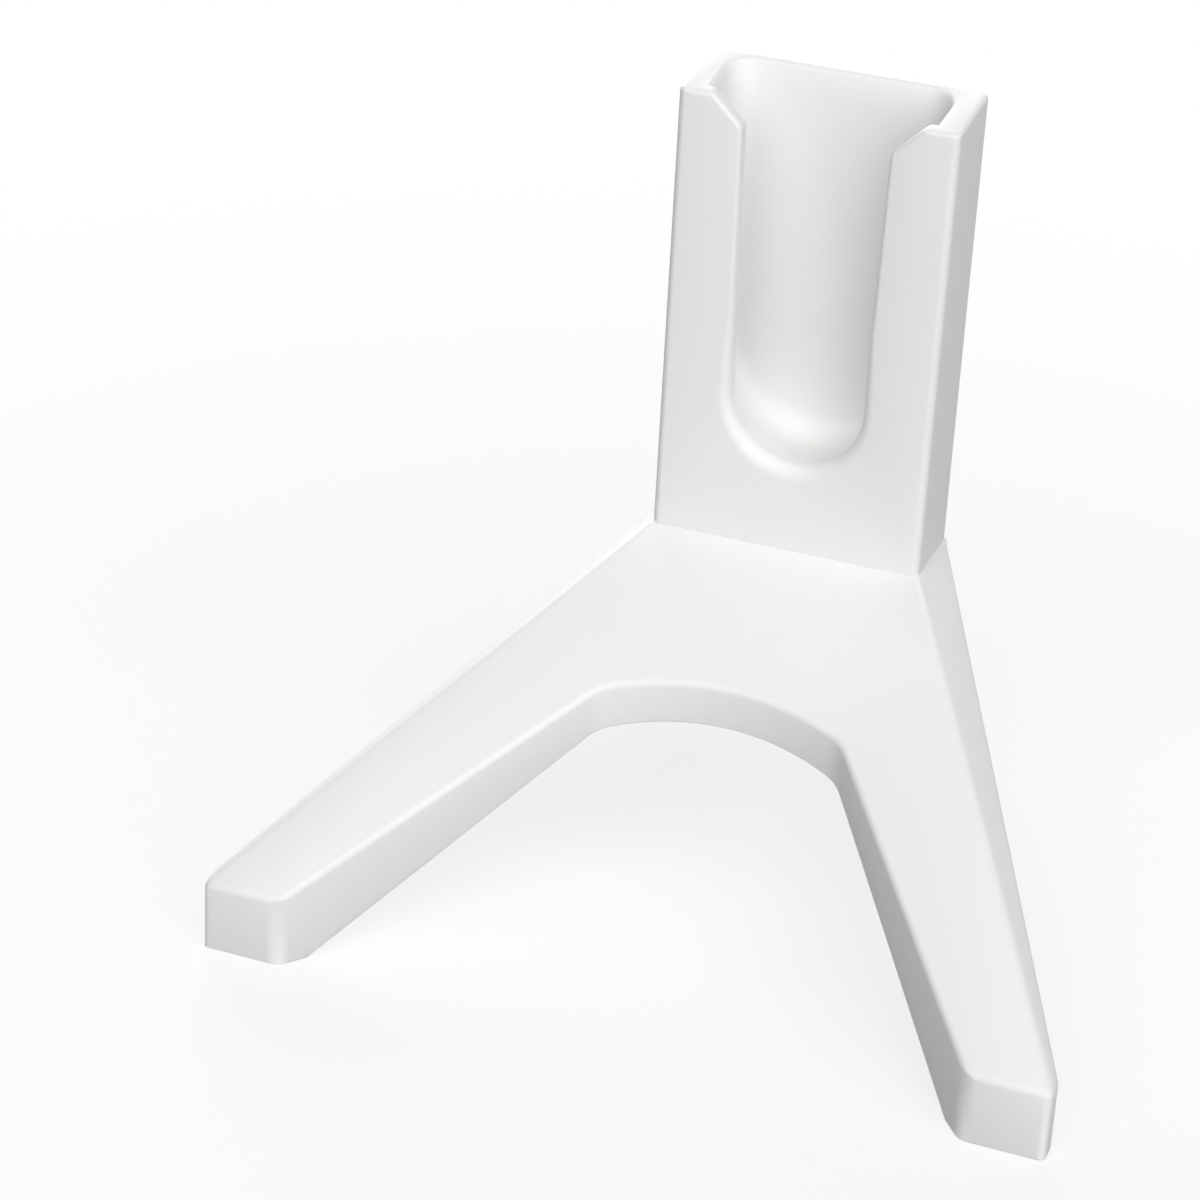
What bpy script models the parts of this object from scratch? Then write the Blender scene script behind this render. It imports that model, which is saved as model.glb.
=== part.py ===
"""Portable bike kickstand: an upright, slotted socket on a three-legged base.

Units are metres, +Z is up, and the slot faces -Y. The origin is on the floor, at the middle of the object's
box. Four pieces: the socket, the base, and two screws that hold the socket down from under the hub.
"""
import math

import bmesh
import bpy
from mathutils import Matrix, Vector

# Clearances
SEAT_GAP = 0.0003          # between faces that seat on each other
CUT_PAST = 0.004           # how far a cutter runs past the face that it opens

# Socket
SOCKET_WIDTH = 0.0500
SOCKET_DEPTH = 0.0180
SOCKET_CORNER = 0.0015     # radius of the four upright corners
SOCKET_RIM = 0.0008        # rounding of the edges round the mouth and the slot
SOCKET_TOP = 0.1405        # height of the mouth at the front
MOUTH_RISE = 0.0020        # the mouth is this much higher at the back
SIDE_WALL = 0.0055
BACK_WALL = 0.0027
LIP_THICKNESS = 0.0033
POCKET_FILLET = 0.0045     # rounding where the pocket meets the back wall
LEAD_IN_WIDTH = 0.0010     # the pocket widens by this much up to the back of its mouth
LEAD_IN_HEIGHT = 0.0050
POCKET_STEP = 0.0005       # the pocket's floor lies this much under the slot's lowest point
STEP_RIM = 0.0002          # rounding of that step's edge
SLOT_WIDTH = 0.0244        # where its sides run into its round end
SLOT_MOUTH_WIDTH = 0.0264  # under the mouth chamfers
SLOT_FLOOR = 0.0160        # height of the slot's lowest point over the hub's top
MOUTH_CHAMFER_WIDTH = 0.0055
MOUTH_CHAMFER_HEIGHT = 0.0053
FLARE = 0.0029             # rounding of the slot's edge at its lowest point
FLARE_SIDE = 0.0020        # rounding of the slot's edge where its sides turn straight
FLARE_FADE = 0.0150        # the flare runs out into the rim rounding this much higher

# Tenon under the socket
TENON_WIDTH = 0.0380
TENON_DEPTH = 0.0110
TENON_LENGTH = 0.0120
TENON_CORNER = 0.0015

# Base
HUB_TOP = 0.0580           # height of the seat that the socket stands on
HUB_THICKNESS = 0.0200
FRONT_REACH = 0.0800       # from the socket's front face to the front of the front toes
REAR_REACH = 0.0425        # from the socket's back face to the end of the rear toe
TOE_HEIGHT = 0.0130        # height of the upright end face of a toe
TOE_FLAT = 0.0045          # depth of the flat that a toe stands on
TOE_INNER = 0.0610         # from the middle to the inner side of a front toe
TOE_OUTER = 0.0755         # from the middle to the outer side of a front toe
TOE_INNER_CORNER = 0.0022
TOE_OUTER_CORNER = 0.0015
SHOULDER_REACH = 0.0008    # how far the rounding reaches where a toe's side turns into the leg's outer edge
BASE_RIM = 0.0010          # rounding of the base's upper edges
UNDER_RIM = 0.0005         # rounding of the edges under the base
RIDGE_REACH = 0.0012       # how far the rounding of a ridge between two slopes reaches to each side
UNDER_FILLET = 0.0015      # rounding inside the hollow under the base
SOLE_EDGE = 0.0004         # rounding round the flats that the base stands on
FLANK_THICKNESS = 0.0100   # upright thickness of the base under the outer facets
ARCH_THICKNESS = 0.0080    # upright thickness of the front of the base, at the middle of the arch
REAR_THICKNESS = 0.0120    # upright thickness of the rear leg, half way along
ARCH_APEX = 0.0270         # from the socket's front face to the middle of the arch
ARCH_SPRING = 0.0315       # from the socket's front face to the ends of the arch
ARCH_HALF_WIDTH = 0.0220
ARCH_CORNER = 0.0080       # radius between the arch and a leg
REAR_ROOT_HALF_WIDTH = 0.0120
REAR_TOE_HALF_WIDTH = 0.00725
REAR_ROOT_CORNER = 0.0040
FRONT_RIM_START = 0.0005   # how far under the hub's top the rim rounding starts, along the front legs
REAR_RIM_START = 0.0050    # and along the rear leg
RIM_SPREAD = 0.35          # growth of the rim rounding with the height under its start
RIDGE_SPREAD = 0.5         # growth of the ridge rounding with the height under the hub's top

# Screws
SCREW_SPACING = 0.0240
SCREW_SHANK_RADIUS = 0.0020
SCREW_LENGTH = 0.0200      # under the head
SCREW_HEAD_RADIUS = 0.0038
SCREW_HEAD_HEIGHT = 0.0026
SCREW_HEAD_SINK = 0.0035   # depth of the recess that hides the head
SCREW_TIP = 0.0015
SCREW_TIP_SHARE = 0.4      # radius of the tip's end, as a share of the shank's
HEAD_ROUNDING = 0.0012     # rounding between the head's side and its end
RECESS_LENGTH = 0.0042     # length of the cross recess in the head
RECESS_WIDTH = 0.0009
RECESS_DEPTH = 0.0013

# Smoothness of round stretches
CORNER_STEPS = 5
EDGE_STEPS = 3
FADE_STEPS = 4
ARCH_STEPS = 12
ROUND_END_STEPS = 36
SHANK_STEPS = 24
HEAD_STEPS = 4

# Places that follow from the sizes
FRONT_Y = (FRONT_REACH - SOCKET_DEPTH - REAR_REACH) / 2      # the socket's front face
BACK_Y = FRONT_Y + SOCKET_DEPTH
TOE_FRONT_Y = FRONT_Y - FRONT_REACH
TOE_REAR_Y = BACK_Y + REAR_REACH
MID_Y = (FRONT_Y + BACK_Y) / 2
SLOT_Z = HUB_TOP + SLOT_FLOOR
SLOT_RADIUS = SLOT_WIDTH / 2
SLOT_CENTRE = SLOT_Z + SLOT_RADIUS
CHAMFER_LOW = SOCKET_TOP - MOUTH_CHAMFER_HEIGHT
POCKET_RADIUS = SOCKET_WIDTH / 2 - SIDE_WALL
HUB_UNDER = HUB_TOP - HUB_THICKNESS
HEAD_SEAT_Z = HUB_UNDER + SCREW_HEAD_SINK

SAME = 0.00002             # points closer than this count as one
FLAT = math.radians(0.2)   # faces that turn by less count as one flat face
SHARP = math.radians(25)   # an edge that turns by less stays as it is
UPWARD = 0.5               # least z of the normal of a face that looks up
STAND_UP = Matrix.Rotation(math.radians(90), 4, "X")

# Finishes: colour, roughness, metallic
WHITE = ((0.84, 0.84, 0.83), 0.42, 0.0)
STEEL = ((0.55, 0.55, 0.56), 0.35, 1.0)


def clear_scene():
    for old in list(bpy.data.objects):
        bpy.data.objects.remove(old, do_unlink=True)


def new_collection(name):
    group = bpy.data.collections.new(name)
    bpy.context.scene.collection.children.link(group)
    return group


def finish(name, colour, roughness, metallic):
    material = bpy.data.materials.new(name)
    material.use_nodes = True
    shader = material.node_tree.nodes["Principled BSDF"]
    shader.inputs["Base Color"].default_value = (*colour, 1.0)
    shader.inputs["Roughness"].default_value = roughness
    shader.inputs["Metallic"].default_value = metallic
    return material


def add_object(mesh, name, group):
    made = bpy.data.objects.new(name, mesh)
    group.objects.link(made)
    return made


def as_cutter(made):
    made.hide_render = True
    made.display_type = "WIRE"
    return made


def rounded(corners):
    """Outline through (x, y, radius) corners, with an arc of that radius at each."""
    points = []
    for index, (x, y, radius) in enumerate(corners):
        here = Vector((x, y))
        before = (Vector(corners[index - 1][:2]) - here).normalized()
        after = (Vector(corners[(index + 1) % len(corners)][:2]) - here).normalized()
        if radius == 0.0:
            points.append(here)
            continue
        half = before.angle(after) / 2
        middle = here + (before + after).normalized() * (radius / math.sin(half))
        start = here + before * (radius / math.tan(half)) - middle
        turn = math.pi - 2 * half
        if before.cross(after) > 0:
            turn = -turn
        for step in range(CORNER_STEPS + 1):
            points.append(middle + Matrix.Rotation(turn * step / CORNER_STEPS, 2) @ start)
    return points


def rectangle(half_width, front, back, corner):
    """Outline of a block seen from above, with round corners."""
    return rounded([(half_width, back, corner), (-half_width, back, corner),
                    (-half_width, front, corner), (half_width, front, corner)])


def prism(name, points, low, high, group, turn=None):
    """Solid from a flat outline, between two heights; turn stands it up."""
    curve = bpy.data.curves.new(name, "CURVE")
    curve.dimensions = "2D"
    curve.fill_mode = "BOTH"
    curve.extrude = (high - low) / 2
    spline = curve.splines.new("POLY")
    spline.points.add(len(points) - 1)
    for point, place in zip(spline.points, points):
        point.co = (place[0], place[1], 0.0, 1.0)
    spline.use_cyclic_u = True
    outline = bpy.data.objects.new(name + "_outline", curve)
    group.objects.link(outline)
    outline.matrix_world = (turn or Matrix()) @ Matrix.Translation((0, 0, (low + high) / 2))
    bpy.context.view_layer.update()
    evaluated = outline.evaluated_get(bpy.context.evaluated_depsgraph_get())
    mesh = bpy.data.meshes.new_from_object(evaluated)
    shape = bmesh.new()
    shape.from_mesh(mesh)
    bmesh.ops.remove_doubles(shape, verts=shape.verts, dist=SAME)
    inside_caps = [edge for edge in shape.edges if all(abs(face.normal.z) > UPWARD for face in edge.link_faces)]
    bmesh.ops.dissolve_edges(shape, edges=inside_caps, use_verts=False)
    bmesh.ops.transform(shape, matrix=outline.matrix_world, verts=shape.verts)
    bmesh.ops.recalc_face_normals(shape, faces=shape.faces)
    shape.to_mesh(mesh)
    shape.free()
    bpy.data.objects.remove(outline, do_unlink=True)
    return add_object(mesh, name, group)


def frustum(name, foot, head, low, high, group):
    """Block whose rectangular foot and head, each (x0, x1, y0, y1), differ in size."""
    shape = bmesh.new()
    bmesh.ops.create_cube(shape, size=1.0)
    for vert in shape.verts:
        x0, x1, y0, y1 = head if vert.co.z > 0 else foot
        vert.co = Vector((x1 if vert.co.x > 0 else x0, y1 if vert.co.y > 0 else y0,
                          high if vert.co.z > 0 else low))
    mesh = bpy.data.meshes.new(name)
    shape.to_mesh(mesh)
    shape.free()
    return add_object(mesh, name, group)


def cylinder(name, radius, low, high, x, y, group):
    shape = bmesh.new()
    bmesh.ops.create_cone(shape, cap_ends=True, segments=SHANK_STEPS, radius1=radius, radius2=radius,
                          depth=high - low)
    bmesh.ops.translate(shape, vec=(x, y, (low + high) / 2), verts=shape.verts)
    mesh = bpy.data.meshes.new(name)
    shape.to_mesh(mesh)
    shape.free()
    return add_object(mesh, name, group)


def boolean(target, cutter, operation="DIFFERENCE"):
    change = target.modifiers.new(cutter.name, "BOOLEAN")
    change.operation = operation
    change.solver = "EXACT"
    change.object = cutter


def edit_mesh(target, change):
    """Run change on the object's mesh, as a bmesh."""
    shape = bmesh.new()
    shape.from_mesh(target.data)
    change(shape)
    shape.to_mesh(target.data)
    shape.free()


def round_edges(target, width, chosen):
    """Bevel the edges that chosen picks, in the mesh itself."""
    def bevel(shape):
        edges = [edge for edge in shape.edges if chosen(edge)]
        bmesh.ops.bevel(shape, geom=edges, offset=width, offset_type="OFFSET", segments=CORNER_STEPS,
                        profile=0.5, affect="EDGES", clamp_overlap=True)

    edit_mesh(target, bevel)


def settle(target):
    """Take the modifiers so far into the mesh, without the needless edges that they leave in flat faces."""
    bpy.context.view_layer.update()
    evaluated = target.evaluated_get(bpy.context.evaluated_depsgraph_get())
    target.data = bpy.data.meshes.new_from_object(evaluated)
    target.modifiers.clear()

    def clean(shape):
        bmesh.ops.remove_doubles(shape, verts=shape.verts, dist=SAME)
        bmesh.ops.dissolve_limit(shape, angle_limit=FLAT, verts=shape.verts, edges=shape.edges)

    edit_mesh(target, clean)
    target.data.shade_smooth()
    target.data.set_sharp_from_angle(angle=SHARP)


def soften(target, reach):
    """Round every edge by what reach gives for it, with one weighted Bevel modifier."""
    widths = []

    def weigh(shape):
        layer = shape.edges.layers.float.new("bevel_weight_edge")
        widths.extend(reach(edge) for edge in shape.edges)
        for edge, width in zip(shape.edges, widths):
            edge[layer] = width / max(widths)

    edit_mesh(target, weigh)
    rounding = target.modifiers.new("rounding", "BEVEL")
    rounding.limit_method = "WEIGHT"
    rounding.width = max(widths)
    rounding.segments = EDGE_STEPS
    rounding.use_clamp_overlap = False
    rounding.harden_normals = True


def round_ended(half_width, lowest, sides):
    """Outline, in x and z, of a channel with a half-round lower end; sides climb to its top."""
    centre = lowest + half_width
    points = [(x, z) for x, z in sides]
    points += [(-x, z) for x, z in reversed(sides)]
    for step in range(ROUND_END_STEPS + 1):
        angle = math.pi + math.pi * step / ROUND_END_STEPS
        points.append((half_width * math.cos(angle), centre + half_width * math.sin(angle)))
    return points


def standing_prism(name, points, front, back, group):
    """Prism whose outline is in x and z, between two values of y."""
    return prism(name, points, -back, -front, group, STAND_UP)


def ring_at(shape, height):
    """Add a level ring of points to the mesh."""
    everything = shape.verts[:] + shape.edges[:] + shape.faces[:]
    bmesh.ops.bisect_plane(shape, geom=everything, dist=SAME, plane_co=(0, 0, height), plane_no=(0, 0, 1))


def fade_rings(target, start, rise):
    """Level rings over the stretch where a rounding changes its width step by step."""
    def add(shape):
        for step in range(FADE_STEPS + 1):
            ring_at(shape, start + rise * step / FADE_STEPS)

    edit_mesh(target, add)


def pocket_cutter(group):
    """Pocket between the walls: a round floor, round back corners and a lead-in at the mouth."""
    front = FRONT_Y + LIP_THICKNESS
    back = BACK_Y - BACK_WALL
    above = SOCKET_TOP + MOUTH_RISE + CUT_PAST
    outline = round_ended(POCKET_RADIUS, SLOT_Z - POCKET_STEP, [(POCKET_RADIUS, above)])
    cutter = standing_prism("pocket_space", outline, front, back, group)
    round_edges(cutter, POCKET_FILLET,
                lambda edge: all(vert.co.y > back - SAME for vert in edge.verts)
                and min(vert.co.z for vert in edge.verts) < above - SAME)
    lead_in_low = SOCKET_TOP + MOUTH_RISE - LEAD_IN_HEIGHT
    widening = LEAD_IN_WIDTH * (above - lead_in_low) / LEAD_IN_HEIGHT

    def lead_in(shape):
        ring_at(shape, lead_in_low)
        for vert in shape.verts:
            if vert.co.z > lead_in_low + SAME:
                side = max(abs(vert.co.x) - POCKET_RADIUS + POCKET_FILLET, 0)
                deep = max(vert.co.y - back + POCKET_FILLET, 0)
                vert.co += Vector((math.copysign(side, vert.co.x), deep, 0)).normalized() * widening

    edit_mesh(cutter, lead_in)
    return as_cutter(cutter)


def slot_cutter(group):
    """Slot through the front wall, with its chamfered mouth."""
    above = SOCKET_TOP + MOUTH_RISE + CUT_PAST
    slope = MOUTH_CHAMFER_WIDTH / MOUTH_CHAMFER_HEIGHT
    half = SLOT_MOUTH_WIDTH / 2
    sides = [(half, CHAMFER_LOW), (half + (above - CHAMFER_LOW) * slope, above)]
    outline = round_ended(SLOT_RADIUS, SLOT_Z, sides)
    return as_cutter(standing_prism("slot_space", outline, FRONT_Y - CUT_PAST,
                                    FRONT_Y + LIP_THICKNESS + CUT_PAST / 2, group))


def middle_of(edge):
    return (edge.verts[0].co + edge.verts[1].co) / 2


def on_slot_side(edge):
    place = middle_of(edge)
    return edge.is_convex and abs(place.x) < SLOT_MOUTH_WIDTH / 2 + SAME and SLOT_Z < place.z + SAME < CHAMFER_LOW


def socket_reach(edge):
    """Rounding of one edge of the socket: the rims, and the flare round the slot's lower end."""
    if not edge.is_convex or edge.calc_face_angle() < SHARP:
        return 0.0
    if not on_slot_side(edge):
        return SOCKET_RIM if middle_of(edge).z > SLOT_Z else 0.0
    place = middle_of(edge)
    side, lowest = (FLARE_SIDE, FLARE) if place.y < FRONT_Y + SAME else (STEP_RIM, STEP_RIM)
    if place.z < SLOT_CENTRE:
        return side + (lowest - side) * ((SLOT_CENTRE - place.z) / SLOT_RADIUS) ** 2
    climb = min(vert.co.z for vert in edge.verts) - SLOT_CENTRE
    return side + (SOCKET_RIM - side) * min(climb / FLARE_FADE, 1)


def fade_points(shape):
    """Points on the slot's upright edges where the flare changes its width step by step."""
    for step in range(1, FADE_STEPS + 1):
        height = SLOT_CENTRE + FLARE_FADE * step / FADE_STEPS
        for edge in [edge for edge in shape.edges if on_slot_side(edge)]:
            low, high = sorted(edge.verts, key=lambda vert: vert.co.z)
            if low.co.z < height - SAME and high.co.z > height + SAME:
                bmesh.utils.edge_split(edge, low, (height - low.co.z) / (high.co.z - low.co.z))


def make_socket(parts, cutters):
    seat = HUB_TOP + SEAT_GAP
    outline = rectangle(SOCKET_WIDTH / 2, FRONT_Y, BACK_Y, SOCKET_CORNER)
    socket = prism("upright_socket", outline, seat, SOCKET_TOP, parts)
    for vert in socket.data.vertices:
        if vert.co.z > SOCKET_TOP - SAME:
            vert.co.z += MOUTH_RISE * (vert.co.y - FRONT_Y) / SOCKET_DEPTH
    boolean(socket, pocket_cutter(cutters))
    boolean(socket, slot_cutter(cutters))
    settle(socket)
    edit_mesh(socket, fade_points)
    soften(socket, socket_reach)
    foot = rectangle(TENON_WIDTH / 2, MID_Y - TENON_DEPTH / 2, MID_Y + TENON_DEPTH / 2, TENON_CORNER)
    tenon = prism("tenon", foot, HUB_TOP - TENON_LENGTH, seat + CUT_PAST, cutters)
    boolean(socket, as_cutter(tenon), "UNION")
    for side in (-1, 1):
        hole = cylinder("pilot_space_" + ("left" if side < 0 else "right"), SCREW_SHANK_RADIUS + SEAT_GAP,
                        HUB_TOP - TENON_LENGTH - CUT_PAST, HEAD_SEAT_Z + SCREW_LENGTH + SCREW_TIP,
                        side * SCREW_SPACING / 2, MID_Y, cutters)
        boolean(socket, as_cutter(hole))
    return socket


def base_outline():
    """The base seen from above: toes, legs, arch, hub and rear leg."""
    rise = ARCH_SPRING - ARCH_APEX
    radius = (ARCH_HALF_WIDTH ** 2 + rise ** 2) / (2 * rise)
    spread = math.asin(ARCH_HALF_WIDTH / radius)
    centre = FRONT_Y - ARCH_APEX - radius
    half = SOCKET_WIDTH / 2
    right = [(ARCH_HALF_WIDTH, FRONT_Y - ARCH_SPRING, ARCH_CORNER),
             (TOE_INNER, TOE_FRONT_Y, 0.0),
             (TOE_OUTER, TOE_FRONT_Y, 0.0),
             (TOE_OUTER, TOE_FRONT_Y + TOE_FLAT, 0.0),
             (half, BACK_Y, SOCKET_CORNER),
             (REAR_ROOT_HALF_WIDTH, BACK_Y, REAR_ROOT_CORNER),
             (REAR_TOE_HALF_WIDTH, TOE_REAR_Y, 0.0)]
    left = [(-x, y, corner) for x, y, corner in reversed(right)]
    arch = []
    for step in range(1, ARCH_STEPS):
        angle = -spread + 2 * spread * step / ARCH_STEPS
        arch.append((radius * math.sin(angle), centre + radius * math.cos(angle), 0.0))
    return rounded(right + left + arch)


def outer_slopes(group):
    """Hipped block whose faces are the tops of the legs; its edges run to the outer toe corners."""
    half = SOCKET_WIDTH / 2
    fall = HUB_TOP - TOE_HEIGHT
    share = (HUB_TOP + CUT_PAST) / fall
    side = half + (TOE_OUTER - half) * share
    foot = (-side, side, FRONT_Y - FRONT_REACH * share, BACK_Y + REAR_REACH * share)
    head = (-half, half, FRONT_Y, BACK_Y)
    return as_cutter(frustum("outer_slopes", foot, head, -CUT_PAST, HUB_TOP, group))


def under_slopes(group):
    """Hipped space under the hub and the legs."""
    half = SOCKET_WIDTH / 2
    fall = HUB_TOP - TOE_HEIGHT
    arch_under = HUB_TOP - fall * ARCH_APEX / FRONT_REACH - ARCH_THICKNESS
    front_run = (FRONT_REACH - TOE_FLAT - ARCH_APEX) / arch_under
    rear_under = HUB_TOP - fall / 2 - REAR_THICKNESS
    rear_run = (REAR_REACH / 2 - TOE_FLAT) / rear_under
    side_run = (TOE_OUTER - half) / fall
    side_foot = half + (HUB_TOP - FLANK_THICKNESS) * side_run
    front_foot = TOE_FRONT_Y + TOE_FLAT
    rear_foot = TOE_REAR_Y - TOE_FLAT

    def section(height):
        side = side_foot - height * side_run
        return (-side, side, front_foot + height * front_run, rear_foot - height * rear_run)

    return as_cutter(frustum("under_slopes", section(-CUT_PAST), section(HUB_UNDER), -CUT_PAST, HUB_UNDER,
                             group))


def base_reach(edge):
    """Rounding of one edge of the base. The rims and ridges run out just under the seat."""
    if edge.calc_face_angle() < SHARP:
        return 0.0
    if not edge.is_convex:
        return UNDER_FILLET
    place = middle_of(edge)
    heights = [vert.co.z for vert in edge.verts]
    if min(heights) > HUB_TOP - SAME:
        return 0.0
    if max(heights) < SAME:
        return SOLE_EDGE
    if (edge.verts[1].co - edge.verts[0].co).xy.length < SAME:
        if place.y < TOE_FRONT_Y + SAME:
            return TOE_INNER_CORNER if abs(place.x) < TOE_OUTER - SAME else TOE_OUTER_CORNER
        if place.y < FRONT_Y:
            return SHOULDER_REACH
        return TOE_OUTER_CORNER if place.y > TOE_REAR_Y - SAME else 0.0
    on_top = [face.normal.z > UPWARD for face in edge.link_faces]
    if all(on_top):
        return min(RIDGE_REACH, (HUB_TOP - place.z) * RIDGE_SPREAD)
    if any(on_top):
        start = REAR_RIM_START if place.y > BACK_Y else FRONT_RIM_START
        return min(BASE_RIM, max(HUB_TOP - start - place.z, 0) * RIM_SPREAD)
    return UNDER_RIM


def make_base(parts, cutters):
    base = prism("tripod_base", base_outline(), 0.0, HUB_TOP + CUT_PAST, parts)
    boolean(base, outer_slopes(cutters), "INTERSECT")
    boolean(base, under_slopes(cutters))
    settle(base)

    for start in (FRONT_RIM_START, REAR_RIM_START):
        fade_rings(base, HUB_TOP - start, -BASE_RIM / RIM_SPREAD)
    soften(base, base_reach)
    hole_front = MID_Y - TENON_DEPTH / 2 - SEAT_GAP
    hole_back = MID_Y + TENON_DEPTH / 2 + SEAT_GAP
    outline = rectangle(TENON_WIDTH / 2 + SEAT_GAP, hole_front, hole_back, TENON_CORNER + SEAT_GAP)
    mortise = prism("mortise_space", outline, HUB_TOP - TENON_LENGTH - SEAT_GAP, HUB_TOP + CUT_PAST, cutters)
    boolean(base, as_cutter(mortise))
    for side in (-1, 1):
        word = "left" if side < 0 else "right"
        x = side * SCREW_SPACING / 2
        hole = cylinder("screw_space_" + word, SCREW_SHANK_RADIUS + SEAT_GAP, HUB_UNDER - CUT_PAST,
                        HUB_TOP - TENON_LENGTH + CUT_PAST / 2, x, MID_Y, cutters)
        recess = cylinder("head_space_" + word, SCREW_HEAD_RADIUS + SEAT_GAP, HUB_UNDER - CUT_PAST,
                          HEAD_SEAT_Z, x, MID_Y, cutters)
        boolean(base, as_cutter(hole))
        boolean(base, as_cutter(recess))
    return base


def make_screw(word, side, parts, cutters):
    """Pan-head screw, turned from a half profile, with a cross recess."""
    seat = HEAD_SEAT_Z - SEAT_GAP
    tip = seat + SCREW_LENGTH
    head = seat - SCREW_HEAD_HEIGHT
    profile = [(0.0, tip), (SCREW_SHANK_RADIUS * SCREW_TIP_SHARE, tip), (SCREW_SHANK_RADIUS, tip - SCREW_TIP),
               (SCREW_SHANK_RADIUS, seat), (SCREW_HEAD_RADIUS, seat)]
    for step in range(HEAD_STEPS + 1):
        angle = math.radians(90) * step / HEAD_STEPS
        profile.append((SCREW_HEAD_RADIUS - HEAD_ROUNDING * (1 - math.cos(angle)),
                        head + HEAD_ROUNDING * (1 - math.sin(angle))))
    profile.append((0.0, head))
    mesh = bpy.data.meshes.new("base_screw_" + word)
    shape = bmesh.new()
    verts = [shape.verts.new((x, 0, z)) for x, z in profile]
    for one, two in zip(verts, verts[1:]):
        shape.edges.new((one, two))
    shape.to_mesh(mesh)
    shape.free()
    screw = add_object(mesh, "base_screw_" + word, parts)
    screw.location = (side * SCREW_SPACING / 2, MID_Y, 0)
    turned = screw.modifiers.new("turned", "SCREW")
    turned.steps = SHANK_STEPS
    turned.render_steps = SHANK_STEPS
    turned.use_merge_vertices = True
    turned.merge_threshold = SAME
    settle(screw)
    x = side * SCREW_SPACING / 2
    for label, along, across in (("x", RECESS_LENGTH, RECESS_WIDTH), ("y", RECESS_WIDTH, RECESS_LENGTH)):
        rect = (x - along / 2, x + along / 2, MID_Y - across / 2, MID_Y + across / 2)
        cutter = frustum("recess_space_" + word + "_" + label, rect, rect, head - CUT_PAST / 4,
                         head + RECESS_DEPTH, cutters)
        boolean(screw, as_cutter(cutter))
    return screw


def main():
    clear_scene()
    parts = new_collection("portable_bike_kickstand")
    cutters = new_collection("cutters")
    pieces = [make_socket(parts, cutters), make_base(parts, cutters)]
    white_names = ("socket_white", "base_white")
    for piece, name in zip(pieces, white_names):
        piece.data.materials.append(finish(name, *WHITE))
    for word, side in (("left", -1), ("right", 1)):
        screw = make_screw(word, side, parts, cutters)
        screw.data.materials.append(finish("screw_steel_" + word, *STEEL))


main()
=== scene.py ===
"""Portable bike kickstand, finished: white satin plastic and zinc-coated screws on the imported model.

Units are metres, +Z is up, and the slotted side of the socket faces -Y.
"""
import math

import bmesh
import bpy
from mathutils import Matrix, Vector


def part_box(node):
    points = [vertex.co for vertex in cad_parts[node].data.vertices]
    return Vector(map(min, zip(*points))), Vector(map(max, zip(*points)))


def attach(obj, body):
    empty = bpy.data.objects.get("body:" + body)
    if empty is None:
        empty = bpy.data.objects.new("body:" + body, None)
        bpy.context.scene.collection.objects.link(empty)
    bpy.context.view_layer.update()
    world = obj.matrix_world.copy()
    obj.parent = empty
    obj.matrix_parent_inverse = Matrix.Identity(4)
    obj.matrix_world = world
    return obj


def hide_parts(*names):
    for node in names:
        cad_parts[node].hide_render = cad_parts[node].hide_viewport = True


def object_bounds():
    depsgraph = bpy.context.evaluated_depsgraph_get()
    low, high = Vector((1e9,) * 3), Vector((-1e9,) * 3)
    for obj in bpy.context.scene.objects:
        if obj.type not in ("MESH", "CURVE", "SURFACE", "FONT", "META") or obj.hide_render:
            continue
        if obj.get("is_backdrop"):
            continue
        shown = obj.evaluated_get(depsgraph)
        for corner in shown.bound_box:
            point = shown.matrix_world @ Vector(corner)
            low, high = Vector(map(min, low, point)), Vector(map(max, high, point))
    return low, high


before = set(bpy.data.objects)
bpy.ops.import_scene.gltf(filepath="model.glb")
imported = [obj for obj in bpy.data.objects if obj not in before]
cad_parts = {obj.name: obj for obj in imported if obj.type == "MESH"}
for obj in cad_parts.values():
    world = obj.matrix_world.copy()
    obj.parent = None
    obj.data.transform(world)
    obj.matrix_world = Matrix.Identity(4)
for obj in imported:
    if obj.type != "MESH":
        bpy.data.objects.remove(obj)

bl_info = {
    "name": "Portable bike kickstand",
    "version": (1, 0, 0),
    "blender": (4, 5, 0),
    "location": "3D View > Sidebar > Kickstand",
    "description": "Builds the stand's plastic pieces, its screws and a pale studio around them",
    "category": "Add Mesh",
}

SOCKET_LOW, SOCKET_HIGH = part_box("upright_socket")
BASE_LOW, BASE_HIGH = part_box("tripod_base")
SCREW_LOW, SCREW_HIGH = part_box("base_screw_right")

# How far a cutter runs past the face that it opens. The slot's runs less far into the pocket, and the
# cross recess's less far out of the head
PAST = 0.004
PAST_LIP = 0.002
PAST_HEAD = 0.0005

# The gap between fitted faces, and the one between two faces that rest on each other
GAP = 0.0003
HAIRLINE = 0.00005

# Places nearer than this count as the same: in tests and after a Boolean, in a finished mesh, in a thread
SAME = 0.00002
WELD = 0.000002
THREAD_WELD = 0.000005

# In how many steps curves are drawn: a rounding, that of a screw head's seat, a corner seen from above, a
# fillet, the flare's fading stretch, the arch, the pocket's and the slot's round ends, holes, heads, one
# turn of a thread and the floor
ROUND_STEPS = 5
SEAT_STEPS = 2
CORNER_STEPS = 10
FILLET_STEPS = 10
FADE_STEPS = 6
ARCH_STEPS = 18
POCKET_STEPS = 48
SLOT_STEPS = 56
HOLE_STEPS = 48
HEAD_STEPS = 64
TURN_STEPS = 40
FLOOR_STEPS = 96

# Where the base is scored while the rounding of a rim grows, as shares of that stretch's height
FADE_DROPS = (0.0, 0.245, 0.56, 0.98)

# Edges whose faces turn by less than this angle are not rounded, on the socket and on the base
SHARP = math.radians(30)
SHARP_ON_BASE = math.radians(20)

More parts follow.
